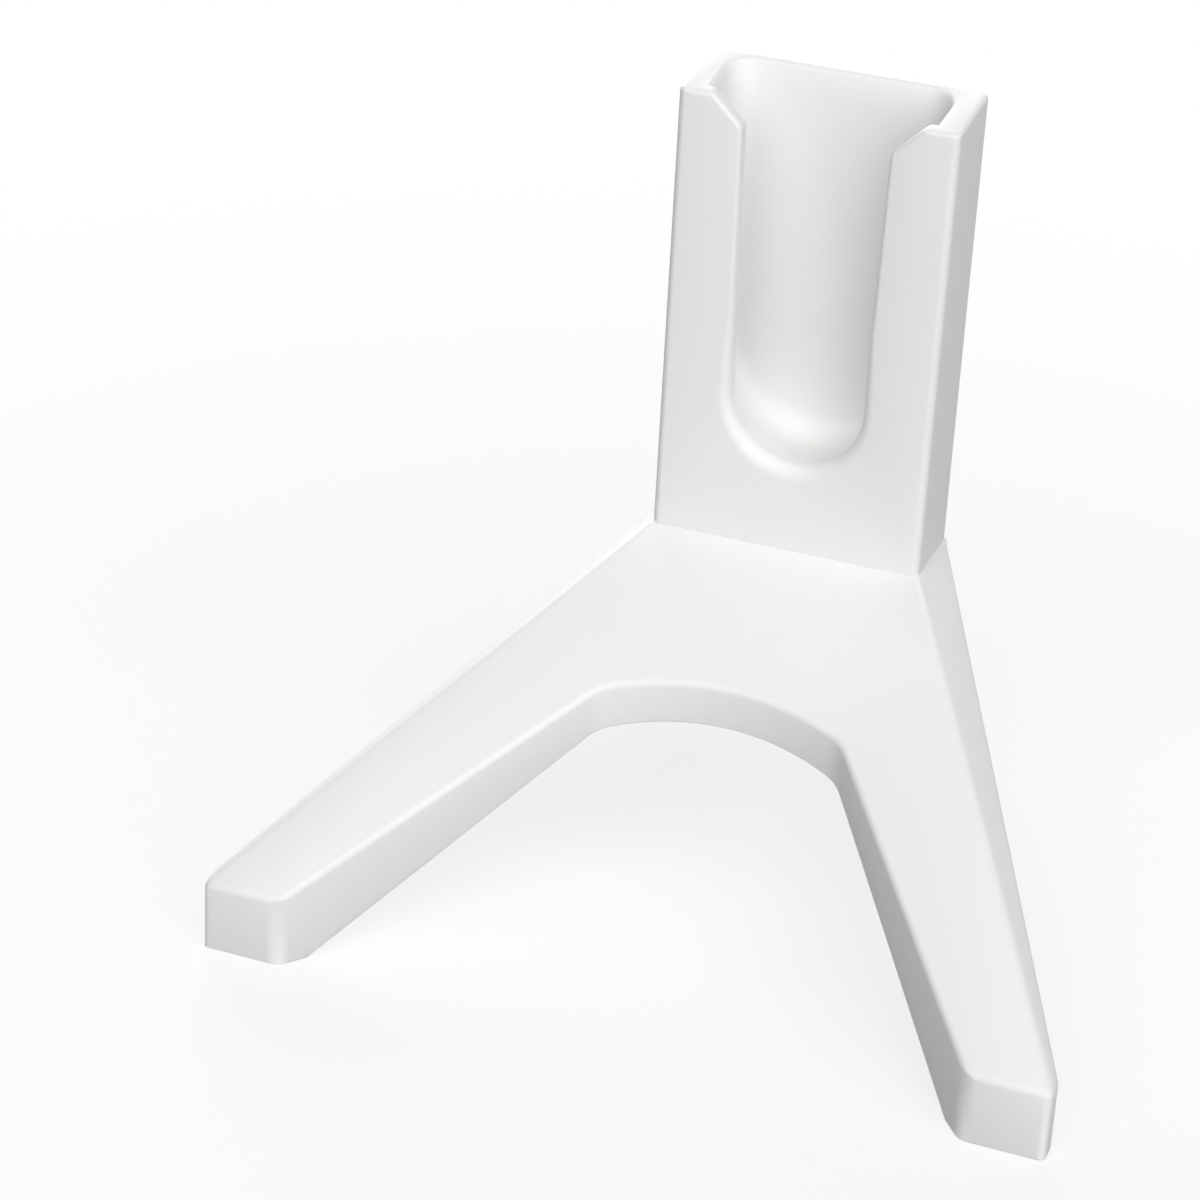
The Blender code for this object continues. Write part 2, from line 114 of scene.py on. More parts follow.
# Faces that turn by less than this angle are shaded as one surface, and are merged into one face
SMOOTH = math.radians(32)
FLAT = math.radians(0.2)

# Upward part of a face's normal from which the face looks up or is level, and of an edge's direction from
# which the edge is upright
UPWARD = 0.5
LEVEL = 0.99
UPRIGHT = 0.95

# Detail of the noises: the plastic's patches, the zinc's patches, and the grain of both
PLASTIC_DETAIL = 3.0
ZINC_DETAIL = 5.0
GRAIN_DETAIL = 4.0

# Studio: plain white, the floor's roughness, and the camera's sensor in millimetres and range in metres
WHITE = (1.0, 1.0, 1.0, 1.0)
FLOOR_ROUGHNESS = 0.95
SENSOR = 36.0
NEAREST = 0.01
FARTHEST = 100.0


def length(name, description, default):
    """A size in metres, shown in the scene's length unit."""
    return bpy.props.FloatProperty(name=name, description=description, default=default, min=0.0,
                                   precision=5, unit="LENGTH", subtype="DISTANCE")


def colour(name, description, default):
    return bpy.props.FloatVectorProperty(name=name, description=description, default=default, size=3,
                                         min=0.0, max=1.0, subtype="COLOR")


def level(name, description, default):
    """A plain number."""
    return bpy.props.FloatProperty(name=name, description=description, default=default, min=0.0,
                                   precision=3)


def shift(name, description, default):
    """A distance in metres that may be negative."""
    return bpy.props.FloatProperty(name=name, description=description, default=default, precision=5,
                                   unit="LENGTH")


def angle(name, description, degrees):
    return bpy.props.FloatProperty(name=name, description=description, default=math.radians(degrees),
                                   subtype="ANGLE", unit="ROTATION")


class KickstandSocketSizes(bpy.types.PropertyGroup):
    """Sizes of the upright socket"""
    width: length("Width", "Outer width of the socket", SOCKET_HIGH.x - SOCKET_LOW.x)
    depth: length("Depth", "Outer depth of the socket", SOCKET_HIGH.y - SOCKET_LOW.y)
    front: length("Front", "How far behind the origin the front face stands", SOCKET_LOW.y)
    top: length("Mouth height", "Height of the mouth over the floor, at the front", 0.1405)
    mouth_rise: length("Mouth rise", "The mouth is this much higher at the back", 0.0020)
    corner: length("Corner", "Rounding of the four upright corners", 0.0015)
    rim: length("Rim rounding", "Rounding of the edges round the mouth", 0.0008)
    side_wall: length("Side wall", "Thickness of a side wall", 0.0055)
    back_wall: length("Back wall", "Thickness of the back wall", 0.0027)
    lip: length("Lip", "Thickness of the two front lips", 0.0033)
    pocket_fillet: length("Pocket fillet", "Rounding between the pocket's sides and its back", 0.0045)
    pocket_step: length("Pocket step", "Depth of the pocket's floor under the slot's end", 0.0005)
    step_rim: length("Step rounding", "Rounding of that step's edge", 0.0002)
    lead_in_width: length("Lead-in", "How much the pocket widens up to the back of its mouth", 0.0010)
    lead_in_height: length("Lead-in height", "Height over which the pocket widens", 0.0050)
    slot_width: length("Slot width", "Width of the slot where its round end starts", 0.0244)
    slot_mouth: length("Slot mouth", "Width of the slot under the mouth chamfers", 0.0264)
    slot_floor: length("Slot floor", "Height of the slot's lowest point over the hub", 0.0160)
    chamfer_width: length("Chamfer width", "Width of the chamfers at the top of the slot", 0.0055)
    chamfer_height: length("Chamfer height", "Height of the chamfers at the top of the slot", 0.0053)
    flare: length("Flare", "Rounding of the slot's edge at its lowest point", 0.0029)
    flare_side: length("Side flare", "Rounding of the slot's edge where its sides turn straight", 0.0020)
    flare_fade: length("Flare fade", "Height over which the flare runs out upwards", 0.0150)
    tenon_width: length("Tenon width", "Width of the tenon under the socket", 0.0380)
    tenon_depth: length("Tenon depth", "Depth of the tenon, front to back", 0.0110)
    tenon_length: length("Tenon length", "How far the tenon goes down into the hub", 0.0120)


class KickstandBaseSizes(bpy.types.PropertyGroup):
    """Sizes of the base"""
    hub_top: length("Hub top", "Height of the seat that the socket stands on", BASE_HIGH.z)
    hub_thickness: length("Hub thickness", "Thickness of the hub under the socket", 0.0200)
    toe_height: length("Toe height", "Height of the upright end face of a toe", 0.0130)
    toe_flat: length("Toe flat", "Depth of the flat that a toe stands on", 0.0045)
    toe_inner: length("Toe inner side", "From the middle to the inner side of a front toe", 0.0610)
    toe_outer: length("Toe outer side", "From the middle to the outer side of a front toe", BASE_HIGH.x)
    toe_front: length("Front reach", "From the middle to the front of the toes", -BASE_LOW.y)
    toe_rear: length("Rear reach", "From the middle to the end of the rear toe", BASE_HIGH.y)
    flank_thickness: length("Flank", "Upright thickness under the outer facets", 0.0100)
    arch_thickness: length("Arch thickness", "Upright thickness in the middle of the arch", 0.0080)
    rear_thickness: length("Rear leg", "Upright thickness of the rear leg, half way along", 0.0120)
    arch_apex: length("Arch apex", "From the socket's front to the middle of the arch", 0.0270)
    arch_spring: length("Arch spring", "From the socket's front to the ends of the arch", 0.0315)
    arch_half_width: length("Arch half width", "Half of the distance between the arch's ends", 0.0220)
    arch_corner: length("Arch corner", "Rounding between the arch and a leg", 0.0080)
    rear_root: length("Rear root", "Half width of the rear leg at the hub", 0.0120)
    rear_toe: length("Rear toe", "Half width of the rear toe", 0.00725)
    rear_corner: length("Rear corner", "Rounding between the rear leg and the hub", 0.0040)
    toe_corner: length("Toe corner", "Rounding of a front toe's inner front corner", 0.0022)
    toe_outer_corner: length("Outer toe corner", "Rounding of the outer front and rear corners", 0.0015)
    toe_side_corner: length("Toe side corner", "Rounding of the upright corner behind a toe's end", 0.0008)
    rim: length("Rim rounding", "Rounding of the upper edges", 0.0010)
    under_rim: length("Under rim", "Rounding of the lower edges", 0.0005)
    front_rim_start: length("Front rim start", "Drop from the seat to the front edges' rounding", 0.0005)
    rear_rim_start: length("Rear rim start", "Drop from the seat to the rear edges' rounding", 0.0050)
    rim_spread: level("Rim spread", "Growth of that rounding on its way down", 0.35)
    ridge: length("Ridge rounding", "How far the rounding of a ridge reaches to each side", 0.0012)
    ridge_spread: level("Ridge spread", "Growth of a ridge's rounding on its way down", 0.5)
    fillet: length("Inner fillet", "Rounding inside the hollow under the base", 0.0015)
    sole_edge: length("Sole edge", "Rounding round the flats that stand on the floor", 0.0004)


class KickstandScrewSizes(bpy.types.PropertyGroup):
    """Sizes of the two screws under the hub"""
    spacing: length("Spacing", "Distance between the two screws", SCREW_LOW.x + SCREW_HIGH.x)
    crest: length("Thread radius", "Radius over the thread's crests", 0.0020)
    root: length("Core radius", "Radius at the thread's roots", 0.0015)
    pitch: length("Pitch", "Rise of the thread in one turn", 0.0014)
    head_radius: length("Head radius", "Radius of the head", SCREW_HIGH.x / 2 - SCREW_LOW.x / 2)
    head_height: length("Head height", "Height of the head", 0.0026)
    sink: length("Head sink", "Depth of the recess in the hub that hides the head", 0.0035)
    head_rounding: length("Head rounding", "Rounding of the head's edge", 0.00117)
    seat_rounding: length("Seat rounding", "Rounding of the head's other edge", 0.0002)
    tip: length("Tip", "Length of the tapered tip", 0.0015)
    tip_share: level("Tip share", "Radius of the tip's end, as a share of the core radius", 0.4)
    thread_foot: length("Thread foot", "Height of the thread's ridge at its foot", 0.00084)
    thread_crest: length("Thread crest", "Height of the flat on the thread's crest", 0.000126)
    thread_root: length("Thread root", "How deep the thread's ridge is sunk in the core", 0.0001)
    thread_end: length("Thread end", "How far under the tip the thread has run out", 0.0006)
    pilot_past: length("Pilot hole", "How far the socket's hole runs past the screw's tip", 0.0015)
    recess_length: length("Recess length", "Length of the cross recess", 0.0042)
    recess_width: length("Recess width", "Width of the cross recess", 0.0009)
    recess_depth: length("Recess depth", "Depth of the cross recess", 0.0013)
    recess_floor: level("Recess floor", "Size of the recess's floor, as a share of its mouth", 0.62)


class KickstandFinish(bpy.types.PropertyGroup):
    """Colours and finishes of the stand"""
    plastic: colour("Plastic", "Colour of the moulded plastic", (0.84, 0.84, 0.83))
    plastic_shade: level("Plastic shade", "Tone of the plastic's slightly darker patches", 0.985)
    plastic_patches: level("Plastic patches", "Patches of tone per metre", 26.0)
    plastic_grain: level("Plastic grain", "Grains per metre", 2200.0)
    plastic_smooth: level("Smoothest plastic", "Roughness between the grains", 0.46)
    plastic_rough: level("Roughest plastic", "Roughness on the grains", 0.60)
    plastic_gloss: level("Plastic gloss", "Strength of the plastic's reflections", 0.38)
    plastic_relief: length("Grain height", "Height of the grain", 0.00004)
    relief_share: level("Grain strength", "Strength of the grain's relief", 0.10)
    steel: colour("Steel", "Colour of the zinc-coated screws", (0.55, 0.55, 0.56))
    steel_dark: level("Dark zinc", "Tone of the darker zinc patches", 0.82)
    steel_light: level("Light zinc", "Tone of the lighter zinc patches", 1.12)
    steel_patches: level("Zinc patches", "Zinc patches per metre", 900.0)
    steel_smooth: level("Smoothest zinc", "Roughness of the lighter zinc", 0.24)
    steel_rough: level("Roughest zinc", "Roughness of the darker zinc", 0.46)
    steel_relief: length("Zinc height", "Height of the zinc's unevenness", 0.00002)
    zinc_share: level("Zinc strength", "Strength of the zinc's unevenness", 0.25)


class KickstandStudio(bpy.types.PropertyGroup):
    """Floor, lights and camera round the stand"""
    floor: colour("Floor", "Colour of the studio floor", (0.90, 0.90, 0.90))
    floor_size: length("Floor size", "Radius of the studio floor", 4.0)
    bounce: level("Floor bounce", "Share of the floor's tone that lights the stand", 0.18)
    near_white: level("White near", "Share of plain white in the floor round the stand", 0.76)
    fade_start: length("Fade start", "Where the floor starts to fade to plain white", 0.12)
    fade_end: length("Fade end", "Where the floor is plain white", 0.36)
    fill: level("Fill light", "Level of the light from all round", 0.06)
    key: level("Key light", "Level of the main soft light", 1.11)
    key_turn: angle("Key turn", "How far the main light stands to the right of the front", 28.0)
    key_height: angle("Key height", "How high the main light stands", 34.0)
    key_spread: angle("Key spread", "How wide the main light looks from the stand", 97.0)
    back: level("Back light", "Level of the weak light from behind", 0.85)
    back_turn: angle("Back turn", "How far the weak light stands to the right of the front", 210.0)
    back_height: angle("Back height", "How high the weak light stands", 15.0)
    back_spread: angle("Back spread", "How wide the weak light looks from the stand", 40.0)
    view_turn: angle("View turn", "How far the camera stands to the right of the front", 19.438)
    view_height: angle("View height", "How high the camera stands", 27.440)
    view_roll: angle("View roll", "Roll of the camera", 3.111)
    view_distance: length("View distance", "How far the camera stands off from the socket's foot", 0.70078)
    view_across: shift("View shift across", "How far the camera is to the right of that foot", -0.029837)
    view_up: shift("View shift up", "How far the camera is above that foot, in its own frame", 0.042343)
    lens: level("Lens", "Focal length in millimetres, for a sensor 36 mm wide", 113.39)


def only(piece):
    """Make piece the one selected and active object."""
    bpy.ops.object.select_all(action="DESELECT")
    piece.select_set(True)
    bpy.context.view_layer.objects.active = piece


def added(name):
    """Name the primitive that was just added, and move its place into its mesh."""
    piece = bpy.context.object
    piece.name = name
    piece.data.name = name
    bpy.ops.object.transform_apply(location=True, rotation=True, scale=True)
    return piece


def edit(piece, kind, wanted):
    """Enter edit mode with only the wanted VERT, EDGE or FACE elements selected."""
    only(piece)
    bpy.ops.object.mode_set(mode="EDIT")
    bpy.ops.mesh.select_mode(type=kind)
    bpy.ops.mesh.select_all(action="DESELECT")
    shape = bmesh.from_edit_mesh(piece.data)
    for element in {"VERT": shape.verts, "EDGE": shape.edges, "FACE": shape.faces}[kind]:
        if wanted(element):
            element.select_set(True)
    shape.select_flush_mode()
    bmesh.update_edit_mesh(piece.data)


def leave():
    bpy.ops.object.mode_set(mode="OBJECT")


def everything(element):
    return True


def middle_of(edge):
    return (edge.verts[0].co + edge.verts[1].co) / 2


def is_upright(edge):
    return abs((edge.verts[1].co - edge.verts[0].co).normalized().z) > UPRIGHT


def block(name, x, y, z):
    """Box between two values of each axis."""
    bpy.ops.object.select_all(action="DESELECT")
    centre = [(low + high) / 2 for low, high in (x, y, z)]
    size = [high - low for low, high in (x, y, z)]
    bpy.ops.mesh.primitive_cube_add(size=1.0, location=centre, scale=size)
    return added(name)


def drum(name, radius, low, high, x, y, steps):
    """Upright cylinder between two heights."""
    bpy.ops.object.select_all(action="DESELECT")
    bpy.ops.mesh.primitive_cylinder_add(vertices=steps, radius=radius, depth=high - low,
                                        location=(x, y, (low + high) / 2))
    return added(name)


def slab(name, outline, move):
    """Flat face through the outline's points, extruded by move into a closed solid."""
    bpy.ops.object.select_all(action="DESELECT")
    bpy.ops.mesh.primitive_circle_add(vertices=len(outline), radius=1.0, fill_type="NGON")
    piece = added(name)
    for vertex, place in zip(piece.data.vertices, outline):
        vertex.co = place
    edit(piece, "FACE", everything)
    bpy.ops.mesh.extrude_region_move(TRANSFORM_OT_translate={"value": move})
    bpy.ops.mesh.select_all(action="SELECT")
    bpy.ops.mesh.normals_make_consistent(inside=False)
    leave()
    return piece


def score(piece, height, kind="FACE", wanted=everything):
    """Cut level points into the wanted edges, or level edges into the wanted faces, removing nothing."""
    edit(piece, kind, wanted)
    bpy.ops.mesh.bisect(plane_co=(0.0, 0.0, height), plane_no=(0.0, 0.0, 1.0), threshold=SAME)
    leave()


def combine(piece, other, operation="DIFFERENCE"):
    """Boolean with another solid, which is used up."""
    change = piece.modifiers.new(other.name, "BOOLEAN")
    change.operation = operation
    change.solver = "EXACT"
    change.object = other
    only(piece)
    bpy.ops.object.modifier_apply(modifier=change.name)
    bpy.data.objects.remove(other, do_unlink=True)
    edit(piece, "FACE", everything)
    bpy.ops.mesh.remove_doubles(threshold=SAME)
    bpy.ops.mesh.dissolve_limited(angle_limit=FLAT)
    leave()


def bevel_edges(piece, wanted, offset, segments):
    edit(piece, "EDGE", wanted)
    bpy.ops.mesh.bevel(offset=offset, offset_type="OFFSET", segments=segments, profile=0.5,
                       affect="EDGES", clamp_overlap=True)
    leave()


def round_off(piece, reach):
    """Round each edge by what reach gives for it, all in one Bevel modifier."""
    shape = bmesh.new()
    shape.from_mesh(piece.data)
    layer = shape.edges.layers.float.new("bevel_weight_edge")
    widths = [reach(edge) if len(edge.link_faces) == 2 else 0.0 for edge in shape.edges]
    widest = max(widths)
    for edge, width in zip(shape.edges, widths):
        edge[layer] = width / widest
    shape.to_mesh(piece.data)
    shape.free()
    change = piece.modifiers.new("rounding", "BEVEL")
    change.width = widest
    change.limit_method = "WEIGHT"
    change.segments = ROUND_STEPS
    change.use_clamp_overlap = False
    change.miter_outer = "MITER_SHARP"
    only(piece)
    bpy.ops.object.modifier_apply(modifier=change.name)


def finish_piece(piece, material, slot, *nodes):
    """Clean the mesh, shade it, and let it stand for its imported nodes."""
    edit(piece, "VERT", everything)
    bpy.ops.mesh.remove_doubles(threshold=WELD)
    bpy.ops.mesh.dissolve_degenerate(threshold=WELD)
    bpy.ops.mesh.normals_make_consistent(inside=False)
    leave()
    bpy.ops.object.shade_smooth_by_angle(angle=SMOOTH)
    piece.data.materials.clear()
    piece.data.materials.append(material)
    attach(piece, "root")
    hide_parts(*nodes)


def rounded(corners):
    """Outline through (x, y, radius) corners, with an arc of that radius at each."""
    points = []
    for index, (x, y, radius) in enumerate(corners):
        here = Vector((x, y))
        if radius == 0.0:
            points.append(here)
            continue
        before = (Vector(corners[index - 1][:2]) - here).normalized()
        after = (Vector(corners[(index + 1) % len(corners)][:2]) - here).normalized()
        half = before.angle(after) / 2
        middle = here + (before + after).normalized() * (radius / math.sin(half))
        start = here + before * (radius / math.tan(half)) - middle
        turn = math.pi - 2 * half
        if before.cross(after) > 0:
            turn = -turn
        for step in range(CORNER_STEPS + 1):
            points.append(middle + Matrix.Rotation(turn * step / CORNER_STEPS, 2) @ start)
    return points


def channel(half_width, lowest, sides, steps):
    """Outline, in x and z, of a channel with a half-round lower end; sides climb to its top."""
    centre = lowest + half_width
    points = list(sides) + [(-x, z) for x, z in reversed(sides)]
    for step in range(steps + 1):
        turn = math.pi + math.pi * step / steps
        points.append((half_width * math.cos(turn), centre + half_width * math.sin(turn)))
    return points


def standing(points, y):
    """Outline of (x, z) points, stood up at y."""
    return [(x, y, z) for x, z in points]


def lying(points, z):
    """Outline of (x, y) points, laid down at z."""
    return [(x, y, z) for x, y in points]


def hipped_block(name, low, high, foot, head):
    """Block whose rectangular foot and head, each (x, y0, y1) with x the half width, differ in size."""
    piece = block(name, (-foot[0], foot[0]), (foot[1], foot[2]), (low, high))
    scale = (head[2] - head[1]) / (foot[2] - foot[1])
    centre = (head[1] - scale * foot[1]) / (1 - scale)
    edit(piece, "FACE", lambda face: face.normal.z > UPWARD)
    bpy.ops.transform.resize(value=(head[0] / foot[0], scale, 1.0), center_override=(0.0, centre, high))
    leave()
    return piece


# In what follows s, b and k are the sizes of the socket, the base and the screws, and f is the finish


def pocket_space(s, hub_top):
    """The pocket between the walls, with round back corners and a lead-in at the mouth."""
    front = s.front + s.lip
    back = s.front + s.depth - s.back_wall
    radius = s.width / 2 - s.side_wall
    above = s.top + s.mouth_rise + PAST
    floor = hub_top + s.slot_floor - s.pocket_step
    outline = channel(radius, floor, [(radius, above)], POCKET_STEPS)
    piece = slab("pocket_space", standing(outline, front), (0.0, back - front, 0.0))
    bevel_edges(piece, lambda edge: min(v.co.y for v in edge.verts) > back - SAME
                and min(v.co.z for v in edge.verts) < above - SAME, s.pocket_fillet, FILLET_STEPS)
    low = s.top + s.mouth_rise - s.lead_in_height
    widening = s.lead_in_width * (above - low) / s.lead_in_height
    edit(piece, "FACE", everything)
    bpy.ops.mesh.bisect(plane_co=(0.0, 0.0, low), plane_no=(0.0, 0.0, 1.0))
    shape = bmesh.from_edit_mesh(piece.data)
    for vertex in shape.verts:
        if vertex.co.z > low + SAME:
            side = max(abs(vertex.co.x) - radius + s.pocket_fillet, 0.0)
            deep = max(vertex.co.y - back + s.pocket_fillet, 0.0)
            vertex.co += Vector((math.copysign(side, vertex.co.x), deep, 0.0)).normalized() * widening
    bmesh.update_edit_mesh(piece.data)
    leave()
    return piece


def slot_space(s, hub_top):
    """The slot through the front wall, with its chamfered mouth."""
    lowest = hub_top + s.slot_floor
    radius = s.slot_width / 2
    chamfer_low = s.top - s.chamfer_height
    above = s.top + s.mouth_rise + PAST
    spread = s.slot_mouth / 2 + (above - chamfer_low) * s.chamfer_width / s.chamfer_height
    sides = [(s.slot_mouth / 2, chamfer_low), (spread, above)]
    outline = channel(radius, lowest, sides, SLOT_STEPS)
    return slab("slot_space", standing(outline, s.front - PAST), (0.0, PAST + s.lip + PAST_LIP, 0.0))


def build_socket(s, k, hub_top):
    """Block with the pocket and the slot cut out, rounded edges, a tenon below and two pilot holes."""
    half = s.width / 2
    back = s.front + s.depth
    middle = s.front + s.depth / 2
    piece = block("socket_body", (-half, half), (s.front, back), (hub_top + HAIRLINE, s.top))
    edit(piece, "EDGE", lambda edge: min(v.co.z for v in edge.verts) > s.top - SAME
         and min(v.co.y for v in edge.verts) > back - SAME)
    bpy.ops.transform.translate(value=(0.0, 0.0, s.mouth_rise))
    leave()
    bevel_edges(piece, is_upright, s.corner, CORNER_STEPS)
    combine(piece, pocket_space(s, hub_top))
    combine(piece, slot_space(s, hub_top))
    chamfer_low = s.top - s.chamfer_height
    lowest = hub_top + s.slot_floor
    centre = lowest + s.slot_width / 2

    def on_slot(edge):
        """Whether the edge runs along the slot, under its chamfers."""
        place = middle_of(edge)
        inside = abs(place.x) < s.slot_mouth / 2 + SAME and lowest < place.z + SAME < chamfer_low
        return inside and edge.is_convex

    def reach(edge):
        """How far the rounding of an edge reaches into its faces."""
        if edge.calc_face_angle() < SHARP or not edge.is_convex:
            return 0.0
        place = middle_of(edge)
        if not on_slot(edge):
            return s.rim if place.z > lowest else 0.0
        side, end = (s.flare_side, s.flare) if place.y < s.front + SAME else (s.step_rim, s.step_rim)
        if place.z < centre:
            return side + (end - side) * ((centre - place.z) / (s.slot_width / 2)) ** 2
        climb = min(vertex.co.z for vertex in edge.verts) - centre
        return side + (s.rim - side) * min(climb / s.flare_fade, 1.0)

    for step in range(1, FADE_STEPS + 1):
        score(piece, centre + s.flare_fade * step / FADE_STEPS, "EDGE", on_slot)
    round_off(piece, reach)
    tenon = block("tenon", (-s.tenon_width / 2, s.tenon_width / 2),
                  (middle - s.tenon_depth / 2, middle + s.tenon_depth / 2),
                  (hub_top - s.tenon_length, hub_top + PAST))
    bevel_edges(tenon, is_upright, s.corner, ROUND_STEPS)
    combine(piece, tenon, "UNION")
    for side in (-1, 1):
        combine(piece, drum("pilot_space", k.crest + GAP, hub_top - s.tenon_length - PAST,
                            SCREW_HIGH.z + k.pilot_past, side * k.spacing / 2, middle, HOLE_STEPS))
    return piece


def base_outline(b, s):
    """The base seen from above, going round from the arch's right end over the toes and the rear leg."""
    rise = b.arch_spring - b.arch_apex
    radius = (b.arch_half_width ** 2 + rise ** 2) / (2 * rise)
    spread = math.asin(b.arch_half_width / radius)
    centre = s.front - b.arch_apex - radius
    back = s.front + s.depth
    right = [(b.arch_half_width, s.front - b.arch_spring, b.arch_corner),
             (b.toe_inner, -b.toe_front, 0.0),
             (b.toe_outer, -b.toe_front, 0.0),
             (b.toe_outer, b.toe_flat - b.toe_front, 0.0),
             (s.width / 2, back, s.corner),
             (b.rear_root, back, b.rear_corner),
             (b.rear_toe, b.toe_rear, 0.0)]
    left = [(-x, y, corner) for x, y, corner in reversed(right)]
    arch = []
    for step in range(1, ARCH_STEPS):
        turn = -spread + 2 * spread * step / ARCH_STEPS
        arch.append((radius * math.sin(turn), centre + radius * math.cos(turn), 0.0))
    return rounded(right + left + arch)


def under_space(b, s):
    """Hipped space under the hub and the legs."""
    half = s.width / 2
    reach = b.toe_front + s.front
    rear = b.toe_rear - s.front - s.depth
    fall = b.hub_top - b.toe_height
    hub_under = b.hub_top - b.hub_thickness
    arch_under = b.hub_top - fall * b.arch_apex / reach - b.arch_thickness
    front_run = (reach - b.toe_flat - b.arch_apex) / arch_under
    rear_run = (rear / 2 - b.toe_flat) / (b.hub_top - fall / 2 - b.rear_thickness)
    side_run = (b.toe_outer - half) / fall
    side_foot = half + (b.hub_top - b.flank_thickness) * side_run

    def section(height):
        """Half width, front and rear of the space at a height."""
        return (side_foot - height * side_run, b.toe_flat - b.toe_front + height * front_run,
                b.toe_rear - b.toe_flat - height * rear_run)

    return hipped_block("under_space", -PAST, hub_under, section(-PAST), section(hub_under))


def build_base(b, s, k):
    """The outline raised to the seat, sloped above and hollow below, with its mortise and screw holes."""
    half = s.width / 2
    back = s.front + s.depth
    fall = b.hub_top - b.toe_height
    share = (b.hub_top + PAST) / fall
    foot = (half + (b.toe_outer - half) * share, s.front - (b.toe_front + s.front) * share,
            back + (b.toe_rear - back) * share)
    piece = slab("base_body", lying(base_outline(b, s), 0.0), (0.0, 0.0, b.hub_top + PAST))
    combine(piece, hipped_block("slopes", -PAST, b.hub_top, foot, (half, s.front, back)), "INTERSECT")
    combine(piece, under_space(b, s))
    front_start, rear_start = b.hub_top - b.front_rim_start, b.hub_top - b.rear_rim_start
    for start in (front_start, rear_start):
        for drop in FADE_DROPS:
            score(piece, start - b.rim / b.rim_spread * drop)

    def reach(edge):
        """How far the rounding of an edge reaches into its faces."""
        one, other = (face.normal for face in edge.link_faces)
        if edge.calc_face_angle() < SHARP_ON_BASE:
            return 0.0
        if not edge.is_convex:
            return b.fillet
        place = middle_of(edge)
        lowest = min(vertex.co.z for vertex in edge.verts)
        if lowest > b.hub_top - SAME:
            return 0.0
        if max(vertex.co.z for vertex in edge.verts) < SAME:
            return b.sole_edge
        if is_upright(edge):
            if abs(place.y + b.toe_front) < SAME:
                return b.toe_corner if abs(place.x) < b.toe_outer - SAME else b.toe_outer_corner
            if place.y < s.front:
                return b.toe_side_corner
            return b.toe_outer_corner if place.y > b.toe_rear - SAME else 0.0
        if min(one.z, other.z) > UPWARD:
            return min(b.ridge, (b.hub_top - place.z) * b.ridge_spread)
        if max(one.z, other.z) > UPWARD:
            start = rear_start if place.y > back else front_start
            return min(b.rim, max(start - place.z, 0.0) * b.rim_spread)
        return b.under_rim

    round_off(piece, reach)
    middle = s.front + s.depth / 2
    mortise = block("mortise_space", (-s.tenon_width / 2 - GAP, s.tenon_width / 2 + GAP),
                    (middle - s.tenon_depth / 2 - GAP, middle + s.tenon_depth / 2 + GAP),
                    (b.hub_top - s.tenon_length - GAP, b.hub_top + PAST))
    bevel_edges(mortise, is_upright, s.corner + GAP, ROUND_STEPS)
    combine(piece, mortise)
    under = b.hub_top - b.hub_thickness
    for side in (-1, 1):
        x = side * k.spacing / 2
        combine(piece, drum("screw_space", k.crest + GAP, under - PAST, b.hub_top, x, middle, HOLE_STEPS))
        combine(piece, drum("head_space", k.head_radius + GAP, under - PAST, under + k.sink, x, middle,
                            HEAD_STEPS))
    return piece


def thread(k, middle, low, high):
    """Closed helical ridge, swept by a Screw modifier and run out at the tip."""
    bpy.ops.object.select_all(action="DESELECT")
    bpy.ops.mesh.primitive_circle_add(vertices=4, radius=k.pitch, fill_type="NOTHING",
                                      location=(0.0, 0.0, 0.0))
    ridge = added("thread")
    inner, crest = k.root - k.thread_root, k.crest - SAME
    foot, top = k.thread_foot / 2, k.thread_crest / 2
    corners_of_ridge = [(inner, -foot), (crest, -top), (crest, top), (inner, foot)]
    for vertex, (x, z) in zip(ridge.data.vertices, corners_of_ridge):
        vertex.co = (x, 0.0, low + z)
    sweep = ridge.modifiers.new("sweep", "SCREW")
    sweep.screw_offset = k.pitch
    sweep.iterations = int((high - low) / k.pitch)
    sweep.steps = TURN_STEPS
    sweep.render_steps = TURN_STEPS
    bpy.ops.object.modifier_apply(modifier=sweep.name)
    edit(ridge, "VERT", everything)
    bpy.ops.mesh.remove_doubles(threshold=THREAD_WELD)
    bpy.ops.mesh.fill_holes(sides=4)
    bpy.ops.mesh.normals_make_consistent(inside=False)
    leave()
    for vertex in ridge.data.vertices:
        run_out = min(max((high - vertex.co.z) / k.pitch, 0.0), 1.0)
        around = Vector((vertex.co.x, vertex.co.y, 0.0))
        height = max(around.length - inner, 0.0)
        keep = (inner + height * run_out) / around.length
        vertex.co = (around.x * keep, around.y * keep + middle, vertex.co.z)
    return ridge


